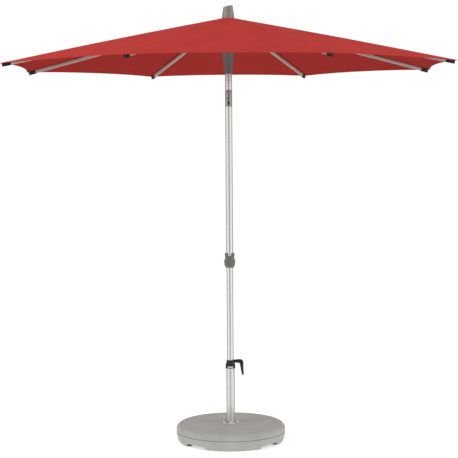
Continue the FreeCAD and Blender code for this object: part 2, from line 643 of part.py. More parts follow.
def rib_tongue():
    """Blade that turns on the crown's wire, with a block that fills the end of the rib tube."""
    half = BLADE_T / 2
    eye = rod(TONGUE_H / 2, V(0, -half, 0), V(0, half, 0))
    blade = block(0, RIB_START, -half, half, -TONGUE_H / 2, TONGUE_H / 2)
    insert = bar_along_x(RIB_W - 2 * RIB_WALL, RIB_H - 2 * RIB_WALL, RIB_CORNER - RIB_WALL,
                         RIB_START, RIB_START + INSERT_L)
    body = eye.fuse([blade, insert]).removeSplitter()
    return body.cut(rod(WIRE_R + WIRE_GAP, V(0, -BLADE_T, 0), V(0, BLADE_T, 0)))


def strut_bracket():
    """Two ears under the rib, joined by a saddle that wraps the tube's underside."""
    inner = BLADE_T / 2 + GAP
    outer = inner + EAR_T
    saddle = STRUT_DROP - STRUT_EYE_R - 2 * GAP
    low = -STRUT_DROP - STRUT_EYE_R
    x0, x1 = STRUT_AT - EAR_L / 2, STRUT_AT + EAR_L / 2
    side = RIB_W / 2 + WRAP_T
    wrap = block(x0, x1, -side, side, -saddle, WRAP_UP)
    ears = block(x0, x1, -outer, outer, low, -saddle)
    ears = ears.cut(block(x0 - PAST, x1 + PAST, -inner, inner, low - PAST, -saddle))
    body = wrap.fuse(ears).removeSplitter().cut(bar_along_x(RIB_W, RIB_H, RIB_CORNER, x0 - PAST, x1 + PAST))
    return body.cut(bracket_rivet())


def bracket_rivet():
    half = BLADE_T / 2 + GAP + EAR_T
    return rod(RIVET_R, V(STRUT_AT, -half, -STRUT_DROP), V(STRUT_AT, half, -STRUT_DROP))


def rib_cap():
    """Black end cap: closes the rib tube and stands proud of it at the sides and below."""
    width = RIB_W + 2 * CAP_SIDE
    body = block(CAP_START, CAP_END, -width / 2, width / 2, -RIB_H / 2 - CAP_SIDE, RIB_H / 2 - CAP_STEP)
    edges = [e for e in body.Edges if e.CenterOfMass.z < 0 or e.CenterOfMass.x > CAP_END - PAST]
    body = body.makeFillet(CAP_ROUND, edges)
    return body.cut(bar_along_x(RIB_W, RIB_H, RIB_CORNER, CAP_START - PAST, RIB_END))


def rib_fittings():
    pieces = (rib_tongue(), strut_bracket(), bracket_rivet(), rib_cap())
    return Part.makeCompound([on_rib(p) for p in pieces])


# ---- struts -----------------------------------------------------------------
def strut():
    """Tube flattened at both ends, with a cross pin at its inner end, towards +X."""
    half = BLADE_T / 2
    pin = rod(STRUT_PIN_R, V(0, -STRUT_PIN_L / 2, 0), V(0, STRUT_PIN_L / 2, 0))
    body = bar_along_x(STRUT_W, STRUT_H, STRUT_CORNER, STRUT_INNER_BLADE, STRUT_L - STRUT_OUTER_BLADE)
    blade = block(0, STRUT_L, -half, half, -STRUT_H / 2, STRUT_H / 2)
    eyes = [rod(STRUT_EYE_R, V(x, -half, 0), V(x, half, 0)) for x in (0, STRUT_L)]
    body = body.fuse([blade] + eyes).removeSplitter()
    body = body.cut(rod(RIVET_R + PIN_GAP, V(STRUT_L, -BLADE_T, 0), V(STRUT_L, BLADE_T, 0))).cut(pin)
    both = Part.makeCompound([body, pin]).rotated(ORIGIN, V(0, 1, 0), -math.degrees(STRUT_RISE))
    return both.translated(V(RIB_PIVOT_R, 0, RUNNER_PIVOT_Z))


# ---- runner -----------------------------------------------------------------
def runner_body():
    """Flared sleeve with a slotted flange. Each strut's cross pin hangs in a groove that is open below."""
    z, flange = RUNNER_Z, RUNNER_TOP - RUNNER_FLANGE_H
    waist, edge = RIB_PIVOT_R - STRUT_EYE_R - WAIST_TUCK, HUB_RIM_R - HUB_EDGE
    edges = bow((RUNNER_FOOT_R, z), (RUNNER_FOOT_R + RUNNER_BOW, z + RUNNER_BOW_UP), (waist, flange))
    edges += chain((waist, flange), (edge, flange), (HUB_RIM_R, flange + HUB_EDGE),
                   (HUB_RIM_R, RUNNER_TOP - HUB_EDGE), (edge, RUNNER_TOP), (RUNNER_BORE, RUNNER_TOP),
                   (RUNNER_BORE, z), (RUNNER_FOOT_R, z))
    body = turned(edges)
    half = BLADE_T / 2 + GAP
    slot = block(waist + GAP, HUB_RIM_R + PAST, -half, half, flange - PAST, RUNNER_TOP + PAST)
    grip, side = STRUT_PIN_R + GAP, STRUT_PIN_L / 2 + GAP
    groove = block(RIB_PIVOT_R - grip, RIB_PIVOT_R + grip, -side, side, flange - PAST, RUNNER_PIVOT_Z + grip)
    body = cut_all(body, ring_of(slot.fuse(groove), RIB_COUNT, RIB_FIRST))
    pocket = KEY_FRONT - RUNNER_KEY_L - RUNNER_KEY_TRAVEL - RUNNER_KEY_ROOM
    return body.cut(key_rod(RUNNER_KEY_R + GAP, pocket, HUB_RIM_R))


def key_rod(radius, y0, y1):
    """Round bar along Y at the key's height."""
    return rod(radius, V(0, y0, RUNNER_Z + RUNNER_KEY_UP), V(0, y1, RUNNER_Z + RUNNER_KEY_UP))


def runner_button():
    return key_rod(RUNNER_KEY_R, KEY_FRONT - RUNNER_KEY_L, KEY_FRONT)


def runner_bush():
    return tube(RUNNER_BORE, BUSH_BORE, RUNNER_Z + BUSH_INSET, RUNNER_TOP - BUSH_INSET)


# ---- canopy -----------------------------------------------------------------
def canopy_gore():
    """Fabric from mid panel to mid panel over one rib, with a scalloped hem, towards +X."""
    reach = CANOPY_TIP_R + PAST
    fall = PANEL_FALL * reach
    slab = plate([V(0, -reach, CANOPY_APEX), V(reach, -reach, CANOPY_APEX - fall),
                  V(reach, -reach, CANOPY_APEX - fall + CANOPY_T), V(0, -reach, CANOPY_APEX + CANOPY_T)],
                 V(0, 2 * reach, 0))
    slab = around(slab, math.degrees(HALF_PANEL))
    side = V(-math.sin(HALF_PANEL), math.cos(HALF_PANEL), 0) * -PANEL_GAP
    along = V(math.cos(HALF_PANEL), math.sin(HALF_PANEL), 0)
    hem_r = CANOPY_TIP_R * math.cos(HALF_PANEL) - SCALLOP
    tip = V(CANOPY_TIP_R, 0, 0)
    hem = along * hem_r + side
    # Half way from the corner to the hem's middle, an arc lies a quarter of its sag off the straight line.
    half_way = (tip + hem) * 0.5 - along * SCALLOP * 0.25
    start = V(CANOPY_INNER_R, 0, 0)
    inner = along * CANOPY_INNER_R + side
    outline = [Part.LineSegment(start, tip).toShape(), Part.Arc(tip, half_way, hem).toShape(),
               Part.LineSegment(hem, inner).toShape(), Part.LineSegment(inner, start).toShape()]
    half = Part.Face(Part.Wire(outline)).extrude(V(0, 0, 2 * CROWN_Z)).common(slab)
    return half.fuse(half.mirror(ORIGIN, V(0, 1, 0))).removeSplitter()


# ---- export -----------------------------------------------------------------
SINGLE = (
    base_shell_lower, base_shell_upper, concrete_core, base_tube, clamp_collar, clamp_screw, clamp_lever,
    reducer_sleeve, lower_mast_tube, lower_mast_plug, lower_mast_guide, upper_mast_tube, collet,
    height_collar, lock_ring, tilt_fork, tilt_pin, tilt_tongue, tilt_button, head_tube, crown_hub,
    crown_ring, finial, runner_body, runner_button, runner_bush,
)
GROUPS = (foot_pads, flange_screws)
PER_RIB = (("rib_%d", rib), ("rib_%d_fittings", rib_fittings), ("strut_%d", strut),
           ("canopy_gore_%d", canopy_gore))


def pieces():
    """Every named piece at rest."""
    found = {make.__name__: make() for make in SINGLE}
    found.update({make.__name__: Part.makeCompound(make()) for make in GROUPS})
    for name, make in PER_RIB:
        for i, shape in enumerate(ring_of(make(), RIB_COUNT, RIB_FIRST)):
            found[name % (i + 1)] = shape
    return found


os.makedirs("parts", exist_ok=True)
for node, shape in pieces().items():
    assert shape.isValid(), node
    shape.exportStep("parts/%s.step" % node)
    box = shape.BoundBox
    print("%-20s solids %2d  volume %10.1f  z %7.1f to %7.1f" % (node, len(shape.Solids), shape.Volume,
                                                               box.ZMin, box.ZMax))
print("tilt pivot z %.3f  crown z %.3f  runner pivot z %.3f  fold travel %.3f" % (TILT_Z, CROWN_Z,
                                                                               RUNNER_PIVOT_Z, FOLD_TRAVEL))
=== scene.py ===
import json
import math

import bmesh
import bpy
import numpy as np
from mathutils import Matrix, Vector


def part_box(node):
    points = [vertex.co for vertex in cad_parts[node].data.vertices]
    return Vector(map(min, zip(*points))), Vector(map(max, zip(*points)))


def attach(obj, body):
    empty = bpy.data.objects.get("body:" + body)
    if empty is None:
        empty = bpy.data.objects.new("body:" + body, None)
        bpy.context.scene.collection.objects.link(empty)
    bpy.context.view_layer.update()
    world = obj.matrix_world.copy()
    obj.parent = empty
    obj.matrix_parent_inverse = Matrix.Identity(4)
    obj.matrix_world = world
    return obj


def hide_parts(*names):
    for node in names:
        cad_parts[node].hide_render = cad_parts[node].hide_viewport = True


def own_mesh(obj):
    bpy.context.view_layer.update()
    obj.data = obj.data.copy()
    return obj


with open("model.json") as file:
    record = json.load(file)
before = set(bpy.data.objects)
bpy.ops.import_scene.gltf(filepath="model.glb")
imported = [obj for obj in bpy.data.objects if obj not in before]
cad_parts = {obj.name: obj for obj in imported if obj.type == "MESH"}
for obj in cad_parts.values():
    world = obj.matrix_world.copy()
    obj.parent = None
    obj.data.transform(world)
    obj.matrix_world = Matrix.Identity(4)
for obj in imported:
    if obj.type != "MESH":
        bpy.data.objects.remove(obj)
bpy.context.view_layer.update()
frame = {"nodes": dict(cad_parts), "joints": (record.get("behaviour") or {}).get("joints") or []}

# Garden umbrella on a weighted base, in metres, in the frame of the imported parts: +Z up, front towards -Y.
# Lengths with _MM at the end are in millimetres.

NODES = frame["nodes"]
JOINTS = {joint["name"]: joint for joint in frame["joints"]}
MM = 0.001


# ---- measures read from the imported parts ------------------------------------
def points(name):
    """All the vertices of a node as one array."""
    mesh = NODES[name].data
    flat = np.empty(len(mesh.vertices) * 3)
    mesh.vertices.foreach_get("co", flat)
    return flat.reshape(-1, 3)


def turned_to_x(places, azimuth):
    """The same places turned about Z, so that the direction at that azimuth lies along +X."""
    c, s = math.cos(azimuth), math.sin(azimuth)
    x, y, z = np.moveaxis(np.asarray(places, float), -1, 0)
    return np.stack((x * c + y * s, y * c - x * s, z), -1)


def turned_from_x(places, azimuth):
    """The reverse: what lay along +X now points to the azimuth."""
    return turned_to_x(places, -azimuth)


RIBS = sum(name.startswith("rib_fold_") for name in JOINTS)
HALF = math.pi / RIBS                                    # angle from a rib to the middle of a panel
PIVOTS = [Vector(JOINTS["rib_fold_%d" % (i + 1)]["pos_m"]) for i in range(RIBS)]
AZIMUTHS = [math.atan2(p.y, p.x) for p in PIVOTS]
PIVOT_R = math.hypot(PIVOTS[0].x, PIVOTS[0].y)

GORE = turned_to_x(points("canopy_gore_1"), AZIMUTHS[0])
TIP_R = GORE[:, 0].max()
RIDGE = GORE[np.abs(GORE[:, 1]) < 1e-4]
TIP = RIDGE[RIDGE[:, 0] > TIP_R - 1e-4]
EYE = RIDGE[RIDGE[:, 0] < RIDGE[:, 0].min() + 1e-4]
FALL = (EYE[:, 2].max() - TIP[:, 2].max()) / (TIP_R - EYE[0, 0])       # ridge's fall for each metre out
APEX = EYE[:, 2].max() + FALL * EYE[0, 0]                              # where the ridges would meet
OUTER = GORE[np.hypot(GORE[:, 0], GORE[:, 1]) > 0.8 * TIP_R]
MID_HEM = OUTER[np.argmax(np.abs(np.arctan2(OUTER[:, 1], OUTER[:, 0])))]
MID_HEM_R = math.hypot(MID_HEM[0], MID_HEM[1])
SCALLOP = TIP_R * math.cos(HALF) - MID_HEM_R


# ---- meshes from arrays -----------------------------------------------------
def quads(rows, columns, first=0, wrap=False, flip=False):
    """Faces of a grid whose vertices run along its columns, row by row. wrap joins the last column to the
    first."""
    index = np.arange(rows * columns).reshape(rows, columns) + first
    if wrap:
        index = np.concatenate((index, index[:, :1]), 1)
    faces = np.stack((index[:-1, :-1], index[:-1, 1:], index[1:, 1:], index[1:, :-1]), -1).reshape(-1, 4)
    return faces[:, ::-1] if flip else faces


def band(first_loop, second_loop):
    """Faces between two runs of vertex numbers."""
    a, b = np.asarray(first_loop), np.asarray(second_loop)
    return np.stack((a[:-1], a[1:], b[1:], b[:-1]), -1)


def new_piece(name, vertices, faces, finish, sharp=35.0, maps=()):
    """Object from vertices and four-sided faces, smooth except over edges sharper than an angle in degrees.
    maps are (name, one pair of numbers for each vertex), written as UV maps."""
    mesh = bpy.data.meshes.new(name)
    mesh.from_pydata(vertices.reshape(-1, 3).tolist(), [], faces.tolist())
    corners = np.empty(len(mesh.loops), int)
    mesh.loops.foreach_get("vertex_index", corners)
    for title, pairs in maps:
        layer = mesh.uv_layers.new(name=title)
        layer.data.foreach_set("uv", pairs.reshape(-1, 2)[corners].astype(np.float32).ravel())
    mesh.polygons.foreach_set("use_smooth", np.ones(len(mesh.polygons), bool))
    mesh.set_sharp_from_angle(angle=math.radians(sharp))
    mesh.materials.append(finish)
    piece = bpy.data.objects.new(name, mesh)
    bpy.context.scene.collection.objects.link(piece)
    return piece


def sheet_shell(name, top, under, finish, wrap=False, maps=()):
    """Closed thin solid between an upper and a lower grid of the same size."""
    rows, columns = top.shape[:2]
    count = rows * columns
    upper = np.arange(count).reshape(rows, columns)
    lower = upper + count
    faces = [quads(rows, columns, 0, wrap), quads(rows, columns, count, wrap, flip=True)]
    if wrap:
        upper, lower = (np.concatenate((g, g[:, :1]), 1) for g in (upper, lower))
    faces += [band(lower[0], upper[0]), band(upper[-1], lower[-1])]
    if not wrap:
        faces += [band(upper[:, 0], lower[:, 0]), band(lower[:, -1], upper[:, -1])]
    both = [(title, np.concatenate((pairs.reshape(-1, 2), pairs.reshape(-1, 2)))) for title, pairs in maps]
    return new_piece(name, np.concatenate((top.reshape(-1, 3), under.reshape(-1, 3))), np.concatenate(faces),
                     finish, maps=both)


def tube_skin(name, rings, finish, sharp=35.0):
    """Closed body from rings of vertices one after another, with both ends drawn in to a point."""
    ends = [np.broadcast_to(ring.mean(0), ring.shape) for ring in (rings[0], rings[-1])]
    rings = np.concatenate((ends[0][None], rings, ends[1][None]))
    rows, columns = rings.shape[:2]
    piece = new_piece(name, rings, quads(rows, columns, wrap=True), finish, sharp)
    weld(piece)
    return piece


def weld(piece):
    """Merges doubled vertices and points the faces outwards."""
    work = bmesh.new()
    work.from_mesh(piece.data)
    bmesh.ops.remove_doubles(work, verts=work.verts, dist=1e-6)
    bmesh.ops.dissolve_degenerate(work, edges=work.edges, dist=1e-7)
    bmesh.ops.recalc_face_normals(work, faces=work.faces)
    work.to_mesh(piece.data)
    work.free()


# ---- materials --------------------------------------------------------------
def linear(hex_colour):
    """Colour written as sRGB hex, as linear red, green, blue and alpha."""
    parts = np.array([int(hex_colour[i:i + 2], 16) for i in (1, 3, 5)]) / 255
    return (*np.where(parts <= 0.04045, parts / 12.92, ((parts + 0.055) / 1.055) ** 2.4), 1.0)


def add(tree, kind, links=(), **settings):
    """Adds a node. settings are its attributes; links pairs one of its sockets with a value or a socket."""
    node = tree.nodes.new(kind)
    for key, value in settings.items():
        setattr(node, key, value)
    for socket, value in dict(links).items():
        if isinstance(value, bpy.types.NodeSocket):
            tree.links.new(value, node.inputs[socket])
        else:
            node.inputs[socket].default_value = value
    return node


def mix_colours(tree, factor, first, second):
    """Output of a colour mix. The two ends are colours or sockets."""
    node = add(tree, "ShaderNodeMix", {"Factor": factor}, data_type="RGBA")
    for socket, value in zip((s for s in node.inputs if s.type == "RGBA"), (first, second)):
        if isinstance(value, bpy.types.NodeSocket):
            tree.links.new(value, socket)
        else:
            socket.default_value = value
    return next(s for s in node.outputs if s.type == "RGBA")


def start_material(name, sockets):
    """New material with its shader's plain sockets set."""
    made = bpy.data.materials.new(name)
    made.use_nodes = True
    shader = made.node_tree.nodes["Principled BSDF"]
    for socket, value in sockets.items():
        shader.inputs[socket].default_value = value
    return made, made.node_tree, shader


def solid_finish(name, dark, light, cloud_mm, grain_mm, depth_mm, rough, spread=0.06, stretch=1.0, **sockets):
    """Hard surface: two near colours in soft clouds, a fine grain in relief, and a roughness that goes with it.
    stretch above 1 draws the grain out along Z, as on drawn tube."""
    made, tree, shader = start_material(name, sockets)
    place = add(tree, "ShaderNodeTexCoord").outputs["Object"]
    drawn = add(tree, "ShaderNodeMapping", {"Vector": place, "Scale": (1, 1, 1 / stretch)}).outputs[0]
    cloud = add(tree, "ShaderNodeTexNoise", {"Vector": drawn, "Scale": 1000 / cloud_mm, "Detail": 4.0})
    grain = add(tree, "ShaderNodeTexNoise", {"Vector": drawn, "Scale": 1000 / grain_mm, "Detail": 3.0})
    tint = add(tree, "ShaderNodeMapRange", {"Value": cloud.outputs[0], "From Min": 0.3, "From Max": 0.7})
    colour = mix_colours(tree, tint.outputs[0], linear(dark), linear(light))
    gloss = add(tree, "ShaderNodeMapRange", {"Value": grain.outputs[0], "From Min": 0.25, "From Max": 0.75,
                                             "To Min": rough - spread, "To Max": rough + spread})
    bump = add(tree, "ShaderNodeBump", {"Height": grain.outputs[0], "Distance": depth_mm * MM})
    tree.links.new(colour, shader.inputs["Base Color"])
    tree.links.new(gloss.outputs[0], shader.inputs["Roughness"])
    tree.links.new(bump.outputs[0], shader.inputs["Normal"])
    return made


# Drawn and anodised aluminium tube: bright, with fine lines along its length that soften the reflections.
TUBE = solid_finish("anodised_aluminium_tube", "#D2D1CF", "#E2E1DF", 60, 1.2, 0.001, 0.22, 0.02, stretch=60,
                    **{"Metallic": 1.0})


FLANGE_TOP = 102.0 * MM      # just above the flange, below the plain tube


def pale_flange(tube):
    """Same tube with its flange a pale satin that hardly mirrors: it goes by the height."""
    made = tube.copy()
    made.name = "brushed_stand_with_pale_flange"
    tree = made.node_tree
    place = add(tree, "ShaderNodeTexCoord").outputs["Object"]
    z = add(tree, "ShaderNodeSeparateXYZ", {0: place}).outputs[2]
    metal = add(tree, "ShaderNodeMapRange", {"Value": z, "From Min": FLANGE_TOP,
                                             "From Max": FLANGE_TOP + 1.5 * MM, "To Min": 0.15})
    tree.links.new(metal.outputs[0], tree.nodes["Principled BSDF"].inputs["Metallic"])
    return made


# The wider stand tube is brushed, so its reflections run together more than the mast's.
STAND = pale_flange(solid_finish("brushed_aluminium_stand", "#CFCECC", "#DDDCDA", 60, 1.2, 0.001, 0.38, 0.02,
                                 stretch=60, **{"Metallic": 1.0}))
# Die-cast aluminium of the tilt joint: greyer and duller than the tube.
TILT = solid_finish("die_cast_aluminium", "#9C9C9A", "#B0B0AE", 25, 1.6, 0.03, 0.38, **{"Metallic": 1.0})
# Zinc plated steel: darker and bluer than the aluminium.
ZINC = solid_finish("zinc_plated_steel", "#5E6063", "#73757A", 6, 0.8, 0.02, 0.36, **{"Metallic": 1.0})
# Powder coat over steel rib tube: warm pale grey with the slight orange peel of a baked powder.
POWDER = solid_finish("powder_coated_rib", "#BEB8AF", "#CBC5BD", 40, 2.2, 0.05, 0.42, **{"IOR": 1.5})
# Moulded ABS with a spark-eroded grain: mid grey, even, with a broad soft highlight.
GREY = solid_finish("moulded_grey_abs", "#666663", "#70706D", 18, 1.0, 0.05, 0.44, **{"IOR": 1.54})
PALE = solid_finish("moulded_pale_abs", "#7C7A78", "#878582", 18, 1.0, 0.05, 0.42, **{"IOR": 1.54})
# Glass-filled nylon: near black, matt, with a slightly rougher skin than the ABS.
NYLON = solid_finish("glass_filled_nylon", "#0C0C0C", "#131313", 12, 0.9, 0.06, 0.5, **{"IOR": 1.45})
# Rotation-moulded polyethylene shell: warm pale grey, pebbled, without gloss.
SHELL = solid_finish("pebbled_polyethylene", "#9DA09B", "#A9ACA7", 90, 3.2, 0.25, 0.58, **{"IOR": 1.51})
RUBBER = solid_finish("moulded_rubber", "#0E0E0E", "#171717", 10, 1.5, 0.06, 0.75)
CONCRETE = solid_finish("cast_concrete", "#8D8A83", "#A29F97", 20, 4.0, 0.5, 0.85)


def woven_canvas(name, colour, shade, thread_mm, depth_mm, stitch_colour):
    """Solution-dyed acrylic canvas: over and under threads in relief, with painted shade that darkens the
    weave's hollows, mottled yarn, rows of stitches.
    Its UV maps hold metres: weave across and along a panel, hem from and along the edge, ridge from and along
    the seam. A thread is drawn wider than a real one, so that it still shows."""
    made, tree, shader = start_material(name, {"Roughness": 0.86, "IOR": 1.45, "Sheen Weight": 0.0,
                                               "Specular IOR Level": 0.05})

    def number(operation, *values):
        return add(tree, "ShaderNodeMath", enumerate(values), operation=operation).outputs[0]

    def map_axes(title):
        uv = add(tree, "ShaderNodeUVMap", uv_map=title).outputs[0]
        return add(tree, "ShaderNodeSeparateXYZ", {0: uv}).outputs

    turn = 2 * math.pi / (2 * thread_mm * MM)
    across, along = (number("SINE", number("MULTIPLY", axis, turn)) for axis in map_axes("weave")[:2])
    weave = number("MULTIPLY", across, along)
    rows = []
    for title, distances in (("hem", (4.0, 21.0)), ("ridge", (5.5,))):
        off, run = map_axes(title)[:2]
        beads = number("SINE", number("MULTIPLY", run, 2 * math.pi / (4.5 * MM)))
        for distance in distances:
            miss = number("ABSOLUTE", number("SUBTRACT", number("ABSOLUTE", off), distance * MM))
            near = add(tree, "ShaderNodeMapRange", {"Value": miss, "From Min": 0.4 * MM, "From Max": 1.0 * MM,
                                                    "To Min": 1.0, "To Max": 0.0}).outputs[0]
            rows.append(number("MULTIPLY", near, number("GREATER_THAN", beads, -0.55)))
    stitch = number("MAXIMUM", number("MAXIMUM", rows[0], rows[1]), rows[2])
    uv = add(tree, "ShaderNodeUVMap", uv_map="weave").outputs[0]
    yarn = add(tree, "ShaderNodeTexNoise", {"Vector": uv, "Scale": 1000 / 5.0, "Detail": 5.0}).outputs[0]
    drift = add(tree, "ShaderNodeTexNoise", {"Vector": uv, "Scale": 1000 / 260.0, "Detail": 2.0}).outputs[0]
    tint = number("ADD", number("MULTIPLY", yarn, 0.45), number("MULTIPLY", drift, 0.55))
    # Painted shade and highlight: the colour follows the weave's height, darker in the hollows between threads
    # and lighter on their crowns.
    tint = number("ADD", tint, number("MULTIPLY", weave, 0.10))
    ramp = add(tree, "ShaderNodeValToRGB", {0: tint})
    ramp.color_ramp.elements[0].position, ramp.color_ramp.elements[1].position = 0.32, 0.68
    ramp.color_ramp.elements[0].color, ramp.color_ramp.elements[1].color = linear(shade), linear(colour)
    sewn = mix_colours(tree, stitch, ramp.outputs[0], linear(stitch_colour))
    height = number("ADD", number("MULTIPLY", weave, 0.5), number("MULTIPLY", stitch, 1.2))
    bump = add(tree, "ShaderNodeBump", {"Height": height, "Distance": depth_mm * MM, "Strength": 0.8})
    tree.links.new(sewn, shader.inputs["Base Color"])
    tree.links.new(bump.outputs[0], shader.inputs["Normal"])
    return made


CANVAS = woven_canvas("acrylic_canvas", "#BE3A34", "#B0322D", 1.6, 0.35, "#A82A27")


# ---- canopy -----------------------------------------------------------------
SEAM_HALF = 7.0 * MM         # half width of the doubled cloth along a rib
HEM_W = 24.0 * MM            # turned-up hem
BOW = 4.0 * MM               # the cloth stands this much higher half way out along a rib
HOLLOW = 5.0 * MM            # and sinks this much between two ribs
PUCKER = 0.5 * MM           # height of the puckers beside a seam
CORNER_PATCH_R = 80.0 * MM   # doubled cloth at a corner


def hem_radius(angle):
    """Distance from the mast to the hem at an angle from the rib. Between two corners the hem is a parabola
    that runs SCALLOP inside their straight line at its middle; this solves where a ray meets it."""
    beta = HALF - np.abs(angle)
    curve = SCALLOP / (TIP_R * math.sin(HALF)) ** 2
    c, s = np.cos(beta), np.sin(beta)
    return 2 * MID_HEM_R / (c + np.sqrt(c * c - 4 * curve * MID_HEM_R * s * s))


def plane_height(radius, angle):
    """Top of a flat panel: it falls evenly with the distance out along the middle of the panel."""
    return APEX - FALL / math.cos(HALF) * radius * np.cos(HALF - np.abs(angle))


def gore_grid():
    """Angles and radii of one gore's grid, and each point's distance from the hem. Columns by the rib keep a
    fixed width, so that the seam runs parallel to it; rows near the hem keep a fixed distance from it."""
    start = PIVOT_R + 4.0 * MM
    fixed = np.array([0.0, 0.5, 0.93, 1.07, 1.6]) * SEAM_HALF
    hem_steps = np.array([HEM_W + 0.4 * MM, HEM_W - 0.4 * MM, 0.5 * HEM_W, 1.5 * MM, 0.0])
    share = np.linspace(0, 1, 44) ** 0.9
    nominal = np.concatenate((start + (TIP_R - HEM_W - start) * share, TIP_R - hem_steps))
    seam_angles = np.minimum(fixed[None, :] / nominal[:, None], HALF * 0.08 * np.arange(5)[None, :])
    rest = np.linspace(0, 1, 22)[None, 1:]
    outer_angles = seam_angles[:, -1:] + (HALF - seam_angles[:, -1:]) * rest
    half = np.concatenate((seam_angles, outer_angles), 1)
    angle = np.concatenate((-half[:, :0:-1], half), 1)
    edge = hem_radius(angle)
    radius = np.empty_like(angle)
    radius[:44] = start + (edge[:44] - HEM_W - 2.0 * MM - start) * share[:, None]
    radius[44:] = edge[44:] - hem_steps[:, None]
    return angle, radius, edge - radius


def cloth_relief(angle, radius, seed):
    """Height of the stretched cloth above the flat panel: bowed up along the ribs, hollow between them,
    puckered along the seams and drawn into fine folds that fan out from the corner."""
    out = radius / TIP_R
    spread = np.abs(angle) / HALF
    across = radius * np.abs(np.sin(angle))
    relief = BOW * np.sin(math.pi * out) - HOLLOW * np.sin(math.pi / 2 * spread) * out * (1 - out ** 4)
    wave = (np.sin(2 * math.pi * radius / (38 * MM) + seed)
            * np.sin(2 * math.pi * radius / (141 * MM) + 2 * seed))
    relief += PUCKER * wave * np.exp(-across / (28 * MM)) * np.clip(across / (6 * MM), 0, 1)
    from_tip = np.hypot(TIP_R - radius * np.cos(angle), radius * np.sin(angle))
    fan = np.arctan2(radius * np.sin(angle), TIP_R - radius * np.cos(angle) + 1 * MM)
    fade = np.exp(-from_tip / (150 * MM)) * np.clip(from_tip / (60 * MM), 0, 1) * (1 - spread) ** 0.5
    return relief + 1.6 * MM * np.cos(9 * fan + seed) * fade


def canopy_gore(i):
    """Cloth over one rib, from mid panel to mid panel, with doubled seam, turned-up hem and corner patch."""
    angle, radius, from_hem = gore_grid()
    flat = np.stack((radius * np.cos(angle), radius * np.sin(angle)), -1)
    height = plane_height(radius, angle) + cloth_relief(angle, radius, 0.7 * i)
    across = np.abs(flat[..., 1])
    seam = np.clip((SEAM_HALF - across) / (1 * MM) + 0.5, 0, 1)
    hem = np.clip((HEM_W - from_hem) / (0.8 * MM) + 0.5, 0, 1)
    from_tip = np.hypot(TIP_R - flat[..., 0], flat[..., 1])
    patch = np.clip((CORNER_PATCH_R - from_tip) / (4 * MM), 0, 1)
    top = height + 0.5 * MM * np.maximum(seam, patch)
    under = height - 0.9 * MM - 0.6 * MM * hem
    upper, lower = (turned_from_x(np.dstack((flat, z)), AZIMUTHS[i]) for z in (top, under))
    side = np.where(angle < 0, -HALF, HALF)
    along, over = radius * np.cos(angle - side), radius * np.sin(angle - side)
    maps = (("weave", np.stack((over, along), -1)), ("hem", np.stack((from_hem, over), -1)),
            ("ridge", np.stack((flat[..., 1], radius), -1)))
    piece = sheet_shell("canopy_panel_%d" % (i + 1), upper, lower, CANVAS, maps=maps)
    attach(piece, "rib_arm_%d" % (i + 1))
    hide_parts("canopy_gore_%d" % (i + 1))
    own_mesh(piece)


def crown_patch():
    """Round doubled cloth under the finial, over the inner edge of the panels, that stays on the head."""
    outer_r, inner_r = PIVOT_R + 24 * MM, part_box("finial")[1].x * 0.5
    turn = np.linspace(0, 2 * math.pi, 192, endpoint=False)
    angle = (turn - AZIMUTHS[0] + HALF) % (2 * HALF) - HALF
    share = np.linspace(0, 1, 14)[:, None]
    rim = outer_r + 1.0 * MM * np.cos(RIBS * (turn - AZIMUTHS[0]))
    radius = inner_r + (rim[None] - inner_r) * share
    height = plane_height(radius, angle[None]) + cloth_relief(angle[None], radius, 0.0) + 1.1 * MM
    height = height - 0.7 * MM * share ** 6
    top = np.dstack((radius * np.cos(turn), radius * np.sin(turn), height))
    under = top - (0, 0, 0.9 * MM)
    from_hem, run = rim[None] - radius, radius * turn[None]
    maps = (("weave", top[..., :2]), ("hem", np.stack((from_hem + 0 * run, run), -1)),
            ("ridge", np.stack((0 * run + 1, run), -1)))
    piece = sheet_shell("crown_patch", top, under, CANVAS, wrap=True, maps=maps)
    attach(piece, "head")


def rounded_section(width, height, corner, count):
    """Points around a rounded rectangle: a superellipse whose power grows as the corner gets smaller."""
    power = 2 * min(width, height) / (2 * corner)
    a = np.linspace(0, 2 * math.pi, count, endpoint=False)
    c, s = np.cos(a), np.sin(a)
    return np.stack((width / 2 * np.sign(c) * np.abs(c) ** (2 / power),
                     height / 2 * np.sign(s) * np.abs(s) ** (2 / power)), -1)


